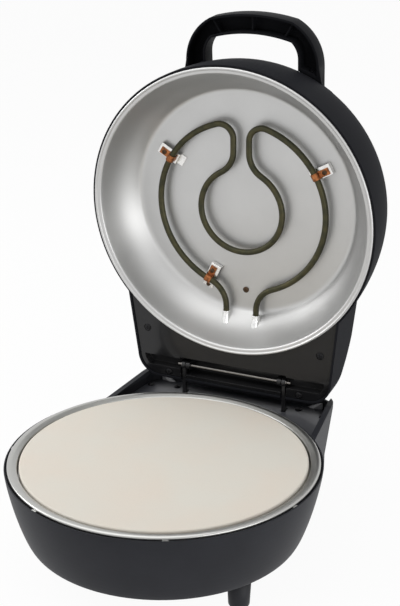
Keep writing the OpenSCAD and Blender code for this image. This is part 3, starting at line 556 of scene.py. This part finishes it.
def softened(path, step, reach):
    """A polyline sampled about every step and averaged with a bell curve of the given reach, which rounds
    its corners; near each end the average gives way to the line itself, so the ends stay where they are."""
    path = np.asarray(path, float)
    length = np.concatenate([[0], np.cumsum(np.linalg.norm(np.diff(path, axis=0), axis=1))])
    along = np.linspace(0, length[-1], int(length[-1] / step) + 2)
    points = np.stack([np.interp(along, length, path[:, 0]), np.interp(along, length, path[:, 1])], -1)
    weight = np.exp(-((along[:, None] - along[None, :]) / reach) ** 2)
    hold = np.clip(np.minimum(along, along[-1] - along) / (2.5 * reach), 0, 1)[:, None]
    return points * (1 - hold) + hold * (weight @ points) / weight.sum(1, keepdims=True)


def ring_profile(sheet):
    """Section of the tray's ring, closed on itself: ledge, sloping band, rolled crown and skirt, with every
    bend softened, and the same line again one sheet thickness inside."""
    outer = softened([(147.5, -13.5), (154.5, -13.5), (154.5, -2.9), (159.5, -0.25), (161.45, 0),
                      (163.9, -0.35), (164.75, -0.9), (165.1, -1.8), (165.1, -7)], 0.5, 0.7)
    inner = outer - sheet * normals(outer)
    return np.concatenate([outer, inner[::-1], outer[:1]])


def foot_profile():
    """Section of a foot from its axis: flat underneath, a rounded lower edge, then a straight side that
    widens a little upwards."""
    round_x, round_r, top_r = 7.6, 3.4, 12.7
    angle = np.radians(np.linspace(-90, -8, 8))[:, None]
    edge = np.array([round_x, round_r]) + round_r * np.concatenate([np.cos(angle), np.sin(angle)], 1)
    return np.concatenate([[[0, 0]], edge, [[top_r, FOOT_HEIGHT], [0, FOOT_HEIGHT]]])


def dish_profile(sheet):
    """Section of the dish from its middle over the rolled bead and back behind: a flat floor, a wall that
    swells by a sine of its length, a flat rim, and a second line one sheet thickness behind the first."""
    t = np.linspace(1, 0, 30)[:, None]
    rim, foot = np.array([DISH_R - DISH_RIM, 1]), np.array([DISH_FLOOR_R, DISH_DEPTH])
    way = foot - rim
    across = np.array([way[1], -way[0]]) / np.hypot(*way)
    wall = rim + t * way + DISH_BULGE * np.sin(np.pi * t) * across
    bead = np.array([DISH_R - BEAD_R, BEAD_R])
    front = softened(np.concatenate([[[0, DISH_DEPTH]], wall, [bead - [1.4, 0.5]]]), 1.5, 3.2)
    behind = front + sheet * normals(front)
    behind[0, 0] = 0
    angle = np.radians(np.linspace(212, 508, 18))[:, None]
    roll = bead + BEAD_R * np.concatenate([np.cos(angle), np.sin(angle)], 1)
    return np.concatenate([front, roll, behind[::-1]])


def trimmed(points):
    """Draws the tips of the handle's webs back onto the dome: its radius at a depth z is the flat top's
    radius plus a share that shrinks with a power of the cosine, as a superellipse does."""
    web_x, web_y, clearance = 82, -100, 0.4
    back = np.array(LID.inverted())
    local = (points @ back[:3, :3].T + back[:3, 3]) / MM
    depth = np.clip((local[:, 2] - LID_DOME_START) / LID_DOME_DEPTH, 0, 1)
    turn = np.arcsin(depth ** (LID_POWER / 2))
    skin = LID_TOP_R + LID_SHOULDER * np.cos(turn) ** (2 / LID_POWER) + clearance
    radius = np.hypot(local[:, 0], local[:, 1])
    web = (np.abs(local[:, 0]) > web_x) & (local[:, 1] < web_y) & (radius > skin)
    local[:, :2] *= np.where(web, skin / radius, 1.0)[:, None]
    return placed(local, LID)


def sleeve(length, low, high, rise):
    """One terminal sleeve, its section turned about a line that rises towards the opening: the radius grows
    from low to high with a small rolled lip at the outer end; rows run along it and close inwards."""
    along = np.concatenate([[0, 0], np.linspace(0.3, length - 1.2, 12),
                            [length - 0.8, length, length, length]])
    radius = np.interp(along, [0, length], [low, high])
    radius[0] = low - 1
    radius[-4:] = [high + 0.5, high + 0.5, high - 0.2, 0.01]
    angle = np.linspace(0, 2 * np.pi, 40, endpoint=False)
    x = radius[:, None] * np.cos(angle)
    y = np.repeat(along[:, None], len(angle), 1)
    z = radius[:, None] * np.sin(angle) - rise * (along[:, None] / length) ** 1.5
    return np.stack([x, y, z], -1)


def bracket_places():
    """The frames of the element's brackets on its outer loop: x across the sheath towards the screw."""
    loop = LID @ Matrix.Rotation(math.radians(ELEMENT_TURN), 4, "Z") @ at(0, OUTER_LOOP_Y, 0)
    return [loop @ Matrix.Rotation(math.radians(angle), 4, "Z") @ at(OUTER_LOOP_R, 0, 0)
            @ Matrix.Rotation(math.radians(facing), 4, "Z")
            for angle, facing in zip(BRACKET_ANGLES, BRACKET_FACING)]


# ---------------------------------------------------------------- stage

def add_sky(scene, strength):
    """Even light of the given strength, which the camera and reflections see as white."""
    scene.world = bpy.data.worlds.new("studio")
    scene.world.use_nodes = True
    tree = scene.world.node_tree
    back = tree.nodes["Background"]
    back.inputs["Color"].default_value = (1, 1, 1, 1)
    seen = seen_by(tree, "Is Camera Ray", "Is Glossy Ray", "Is Transmission Ray")
    tree.links.new((strength + (1 - strength) * seen).socket, back.inputs["Strength"])


def add_floor(scene):
    """A pale matt floor whose shadows show faintly through plain white."""
    whiteness, half = 0.95, 6
    floor = Finish("floor", (0.9, 0.9, 0.9), 0.9)
    glow = floor.node("ShaderNodeEmission", Color=(1, 1, 1, 1), Strength=1.0)
    mask = seen_by(floor.tree, "Is Camera Ray", "Is Glossy Ray") * whiteness
    mix = floor.node("ShaderNodeMixShader", Fac=mask, _1=Wire(floor.tree, floor.shader.outputs[0]), _2=glow)
    floor.tree.links.new(mix.socket, floor.tree.nodes["Material Output"].inputs["Surface"])
    floor.feed("Roughness", 0.85 + 0.1 * floor.noise(0.2))
    mesh = bpy.data.meshes.new("floor")
    mesh.from_pydata([(-half, -half, 0), (half, -half, 0), (half, half, 0), (-half, half, 0)], [],
                     [(0, 1, 2, 3)])
    mesh.materials.append(floor.material)
    ground = bpy.data.objects.new("floor", mesh)
    scene.collection.objects.link(ground)


def add_lamp(scene, name, watts, width, height, place):
    """A rectangular lamp, hidden from the camera, that faces the middle of the object."""
    data = bpy.data.lights.new(name, "AREA")
    data.energy = watts
    data.shape = "RECTANGLE"
    data.size, data.size_y = width, height
    lamp = bpy.data.objects.new(name, data)
    lamp.location = place
    lamp.visible_camera = False
    lamp.rotation_euler = (LAMP_TARGET - Vector(place)).to_track_quat("-Z", "Y").to_euler()
    scene.collection.objects.link(lamp)


def add_camera(scene, lens):
    """The camera: its back axis lies along its azimuth and elevation, its right axis is level, and both
    are rolled about the back axis."""
    data = bpy.data.cameras.new("camera")
    data.lens = lens
    data.sensor_width = 36
    data.clip_start = 0.05
    camera = bpy.data.objects.new("camera", data)
    level = math.cos(CAMERA_ELEVATION)
    back = Vector((math.sin(CAMERA_AZIMUTH) * level, -math.cos(CAMERA_AZIMUTH) * level,
                   math.sin(CAMERA_ELEVATION)))
    right = Vector((math.cos(CAMERA_AZIMUTH), math.sin(CAMERA_AZIMUTH), 0))
    axes = Matrix.Rotation(CAMERA_ROLL, 3, back) @ Matrix((right, back.cross(right), back)).transposed()
    camera.matrix_world = Matrix.Translation(CAMERA_PLACE) @ axes.to_4x4()
    scene.collection.objects.link(camera)
    scene.camera = camera


# ---------------------------------------------------------------- operators

class Step:
    """What the operators share."""
    bl_options = {"REGISTER", "UNDO"}


class PIZZA_OT_stage(Step, bpy.types.Operator):
    """Adds the pale floor, the soft lights and the camera"""
    bl_idname = "pizza.stage"
    bl_label = "Stage"

    def execute(self, context):
        scene, stage = context.scene, context.scene.pizza_stage
        scene.view_settings.view_transform = "Standard"
        add_sky(scene, stage.sky)
        add_floor(scene)
        for name, width, height, place in LAMPS:
            add_lamp(scene, name, getattr(stage, name + "_power"), width, height, place)
        add_camera(scene, stage.lens)
        return {"FINISHED"}


class PIZZA_OT_housings(Step, bpy.types.Operator):
    """Finishes the moulded housings of the base and the lid"""
    bl_idname = "pizza.housings"
    bl_label = "Housings"

    def execute(self, context):
        colours = context.scene.pizza_colours
        dress(moulding("base moulding", colours.body, 0.46, 0.02 * MM, gloss=0.1), "base_housing")
        dress(moulding("deck moulding", colours.deck, 0.36, 0.006 * MM, coat=0.1), "rear_deck")
        # Painted shade: the lid is the same charcoal as the base, darkened to six tenths so that its flanks
        # come out dark
        dress(moulding("lid moulding", tint(colours.body, 0.6), 0.6, 0.02 * MM, gloss=0.02), "lid_shell")
        dress(moulding("panel moulding", colours.panel, 0.16, 0.004 * MM, coat=0.15, gloss=0.3),
              "lid_frame")
        return {"FINISHED"}


class PIZZA_OT_fairings(Step, bpy.types.Operator):
    """Adds the small facets inside the rear corners"""
    bl_idname = "pizza.fairings"
    bl_label = "Corner fairings"

    def execute(self, context):
        # Pale grey as a painted highlight, where the facets catch the key lamp
        glossy = moulding("fairing moulding", context.scene.pizza_colours.fairing, 0.25, 0.006 * MM, coat=0.3)
        corners = np.array([(84.8, 206.1, -13.9), (94.6, 203.6, -13.9), (105.3, 204.3, -4),
                            (91.8, 208.1, -10.5), (105.3, 206.5, -13.9), (91.8, 209.5, -13.9)])
        faces = [[0, 1, 2, 3], [3, 2, 4, 5], [1, 4, 2], [0, 3, 5], [0, 5, 4, 1]]
        for side, end in ((-1, "left"), (1, "right")):
            piece = new_piece("corner_fairing_" + end, placed(corners * (side, 1, 1), RING), faces, glossy,
                              "base", smooth=False)
            edges = piece.modifiers.new("edges", "BEVEL")
            edges.width, edges.segments = context.scene.pizza_sizes.fairing_edge, 3
        return {"FINISHED"}


class PIZZA_OT_ring(Step, bpy.types.Operator):
    """Adds the spun steel ring of the tray"""
    bl_idname = "pizza.ring"
    bl_label = "Tray ring"

    def execute(self, context):
        ring = turned("spun ring", context.scene.pizza_colours.steel, 0.3, AXIS, (1, 0, 0), (0, 1, 0))
        profile = ring_profile(context.scene.pizza_sizes.sheet / MM)
        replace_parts(spun("ring_surface", profile, RING, ring, "base"), "tray_ring")
        dress(ring, "tray_ring")
        return {"FINISHED"}


class PIZZA_OT_feet(Step, bpy.types.Operator):
    """Adds the turned feet, and finishes the cord's bush like them"""
    bl_idname = "pizza.feet"
    bl_label = "Feet"

    def execute(self, context):
        rubber = moulding("foot moulding", tint(context.scene.pizza_colours.body, 0.8), 0.5, 0.02 * MM,
                          gloss=0.25)
        dress(rubber, "foot_front_left", "foot_front_right", "foot_rear", "cord_bush")
        for name, degrees in FOOT_ANGLES.items():
            turn = math.radians(degrees)
            place = at(AXIS.x / MM + FOOT_CIRCLE_R * math.cos(turn),
                       AXIS.y / MM + FOOT_CIRCLE_R * math.sin(turn), 0)
            foot = spun("foot_" + name + "_body", foot_profile(), place, rubber, "base", 64)
            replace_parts(foot, "foot_" + name)
        return {"FINISHED"}


class PIZZA_OT_stone(Step, bpy.types.Operator):
    """Finishes the baking stone"""
    bl_idname = "pizza.stone"
    bl_label = "Baking stone"

    def execute(self, context):
        dress(stone_finish(context.scene.pizza_colours.stone), "baking_stone")
        return {"FINISHED"}


class PIZZA_OT_handle(Step, bpy.types.Operator):
    """Adds the handle with rounded edges and webs that end on the dome"""
    bl_idname = "pizza.handle"
    bl_label = "Handle"

    def execute(self, context):
        # Painted shade: the handle is the body's charcoal darkened twice by six tenths, so that its flanks
        # come out as dark as they fall in shade
        colour = tint(tint(context.scene.pizza_colours.body, 0.6), 0.6)
        dress(moulding("handle moulding", colour, 0.5, 0.015 * MM, gloss=0.03), "handle")
        rounded_copy("handle_body", "handle", "lid", trimmed, context.scene.pizza_sizes.handle_edge)
        return {"FINISHED"}


class PIZZA_OT_reflectors(Step, bpy.types.Operator):
    """Adds the pressed dish of the lid, and finishes the reflector under the stone"""
    bl_idname = "pizza.reflectors"
    bl_label = "Reflectors"

    def execute(self, context):
        colour = context.scene.pizza_colours.reflector
        dress(turned("lower reflector", colour, 0.36, AXIS, (1, 0, 0), (0, 1, 0)), "lower_reflector")
        aluminium = satin("dish aluminium", colour, 0.43, LID_CENTRE, (1, 0, 0), LID_Y)
        profile = dish_profile(context.scene.pizza_sizes.sheet / MM)
        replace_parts(spun("dish_surface", profile, LID, aluminium, "lid", 160), "reflector_dish")
        dress(aluminium, "reflector_dish")
        return {"FINISHED"}


class PIZZA_OT_elements(Step, bpy.types.Operator):
    """Finishes the heating elements, their ceramic, the thermostats and the pilot lenses"""
    bl_idname = "pizza.elements"
    bl_label = "Elements and controls"

    def execute(self, context):
        dress(sheath_finish(context.scene.pizza_colours.sheath), "upper_element", "lower_element")
        dress(ceramic_finish(), "lower_ferrules", "terminal_block")
        dress(moulding("thermostat case", (0.09, 0.06, 0.035), 0.35, 0.01 * MM), "base_thermostat",
              "lid_thermostat")
        dress(lens_finish(), "pilot_lenses")
        return {"FINISHED"}


class PIZZA_OT_brackets(Step, bpy.types.Operator):
    """Adds the bracket plates and the clamp straps that hold the upper element"""
    bl_idname = "pizza.brackets"
    bl_label = "Brackets and clamps"

    def execute(self, context):
        sizes, places = context.scene.pizza_sizes, bracket_places()
        zinc = bright("bracket zinc", (0.85, 0.84, 0.82), 0.26)
        dress(zinc, "element_brackets")
        width, gauge = sizes.plate_width / MM, sizes.plate_gauge / MM
        seat, top, offset = DISH_DEPTH - 0.65, 44.8, 1.2
        step = [(-7.2, seat), (-7.2, top), (18.6, top), (18.6, seat)]
        plates = strap("bracket_plates", [(-14.5, seat)] + step, width, gauge, places[1:], zinc, "lid",
                       offset)
        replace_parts(plates, "element_brackets")
        strap("bracket_plate_right", step, width, gauge, places[:1], zinc, "lid", -offset)

        copper = copper_finish(context.scene.pizza_colours.copper)
        dress(copper, "element_clamps")
        loop_r, tail_z = 4.15, 43.55
        angle = np.radians(np.linspace(38, -218, 26))
        loop = np.stack([loop_r * np.cos(angle), ELEMENT_Z + loop_r * np.sin(angle)], -1)
        straps = strap("clamp_straps", np.concatenate([[(15.8, tail_z), (5.4, tail_z)], loop]),
                       sizes.clamp_width / MM, sizes.clamp_gauge / MM, places, copper, "lid")
        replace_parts(straps, "element_clamps")
        return {"FINISHED"}


class PIZZA_OT_sleeves(Step, bpy.types.Operator):
    """Adds the two terminal sleeves at the ends of the upper element"""
    bl_idname = "pizza.sleeves"
    bl_label = "Terminal sleeves"

    def execute(self, context):
        nickel = bright("nickel sleeve", (0.88, 0.88, 0.87), 0.2)
        dress(nickel, "upper_ferrules")
        shape = sleeve(19.5, 4.4, 5.6, 5.0)
        place = LID @ Matrix.Rotation(math.radians(ELEMENT_TURN), 4, "Z")
        parts = [placed(shape + (side * TERMINAL_X, TERMINAL_Y, ELEMENT_Z), place) for side in (-1, 1)]
        faces = repeated(grid_faces(*shape.shape[:2]), len(parts[0]), len(parts))
        sleeves = new_piece("terminal_sleeves", np.concatenate(parts), faces.tolist(), nickel, "lid")
        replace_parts(sleeves, "upper_ferrules")
        return {"FINISHED"}


class PIZZA_OT_screws(Step, bpy.types.Operator):
    """Adds the heads of the screws that show, and finishes the other screws and clips"""
    bl_idname = "pizza.screws"
    bl_label = "Screws"

    def execute(self, context):
        colours, sizes = context.scene.pizza_colours, context.scene.pizza_sizes
        black = bright("black screw", colours.black_screw, 0.35)
        places = [RING @ at(side * x, y, DECK_Z) for x, y in DECK_SCREWS for side in (-1, 1)]
        heads = screw_heads("deck_screw_heads", sizes.deck_screw / MM, 2.2, places, black, "base")
        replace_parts(heads, "deck_screws")
        dress(black, "deck_screws")

        black = bright("panel screw black", colours.black_screw, 0.35)
        places = [LID @ at(side * x, y, PANEL_Z + 1.2) @ UPSIDE_DOWN for x, y in PANEL_SCREWS
                  for side in (-1, 1)]
        heads = screw_heads("panel_screw_heads", sizes.panel_screw / MM, 1.8, places, black, "lid")
        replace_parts(heads, "panel_screws")
        dress(black, "panel_screws")

        brown = bright("heat-browned screw", colours.brown_screw, 0.35)
        dress(brown, "bracket_screws", "thermostat_screw")
        brackets = bracket_places()
        places = [bracket @ at(10.5, 0, ELEMENT_Z + 2.4) @ UPSIDE_DOWN for bracket in brackets]
        places.append(brackets[2] @ at(-11.6, 1.2, DISH_DEPTH - 1.25) @ UPSIDE_DOWN)
        heads = screw_heads("bracket_screw_heads", sizes.bracket_screw / MM, 1.7, places, brown, "lid")
        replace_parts(heads, "bracket_screws")
        places = [LID @ at(0, THERMOSTAT_Y, DISH_DEPTH) @ UPSIDE_DOWN]
        heads = screw_heads("thermostat_screw_head", sizes.thermostat_screw / MM, 2, places, brown, "lid")
        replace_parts(heads, "thermostat_screw")

        dress(bright("zinc", (0.5, 0.5, 0.49), 0.35), "rim_clips", "foot_screws", "lower_element_clips")
        dress(bright("screw zinc", (0.5, 0.47, 0.4), 0.3), "handle_screws")
        return {"FINISHED"}


class PIZZA_OT_hinge(Step, bpy.types.Operator):
    """Finishes the hinge's rod, pins, clips and arms"""
    bl_idname = "pizza.hinge"
    bl_label = "Hinge"

    def execute(self, context):
        dress(bright("blackened rod", (0.2, 0.19, 0.18), 0.24), "hinge_rod", "pivot_pins", "rod_clips")
        dress(moulding("arm enamel", (0.012, 0.012, 0.013), 0.3, 0.008 * MM), "hinge_arm_left",
              "hinge_arm_right")
        return {"FINISHED"}


STEPS = (
    PIZZA_OT_stage, PIZZA_OT_housings, PIZZA_OT_fairings, PIZZA_OT_ring, PIZZA_OT_feet, PIZZA_OT_stone,
    PIZZA_OT_handle, PIZZA_OT_reflectors, PIZZA_OT_elements, PIZZA_OT_brackets, PIZZA_OT_sleeves,
    PIZZA_OT_screws, PIZZA_OT_hinge,
)


class PIZZA_PT_panel(bpy.types.Panel):
    """Lists the steps and the settings in the 3D view's sidebar."""
    bl_label = "Pizza Maker"
    bl_idname = "PIZZA_PT_panel"
    bl_space_type = "VIEW_3D"
    bl_region_type = "UI"
    bl_category = "Pizza Maker"

    def draw(self, context):
        column = self.layout.column()
        for step in STEPS:
            column.operator(step.bl_idname)
        for name, group in GROUPS.items():
            for key in group.__annotations__:
                column.prop(getattr(context.scene, name), key)


GROUPS = {"pizza_colours": PizzaMakerColours, "pizza_sizes": PizzaMakerSizes, "pizza_stage": PizzaMakerStage}
CLASSES = (*GROUPS.values(), *STEPS, PIZZA_PT_panel)


def register():
    for cls in CLASSES:
        bpy.utils.register_class(cls)
    for name, group in GROUPS.items():
        setattr(bpy.types.Scene, name, PointerProperty(type=group))


def unregister():
    for name in GROUPS:
        delattr(bpy.types.Scene, name)
    for cls in reversed(CLASSES):
        bpy.utils.unregister_class(cls)


def main():
    """Runs every step in order."""
    register()
    for step in STEPS:
        group, action = step.bl_idname.split(".")
        getattr(getattr(bpy.ops, group), action)()


if __name__ == "__main__":
    main()
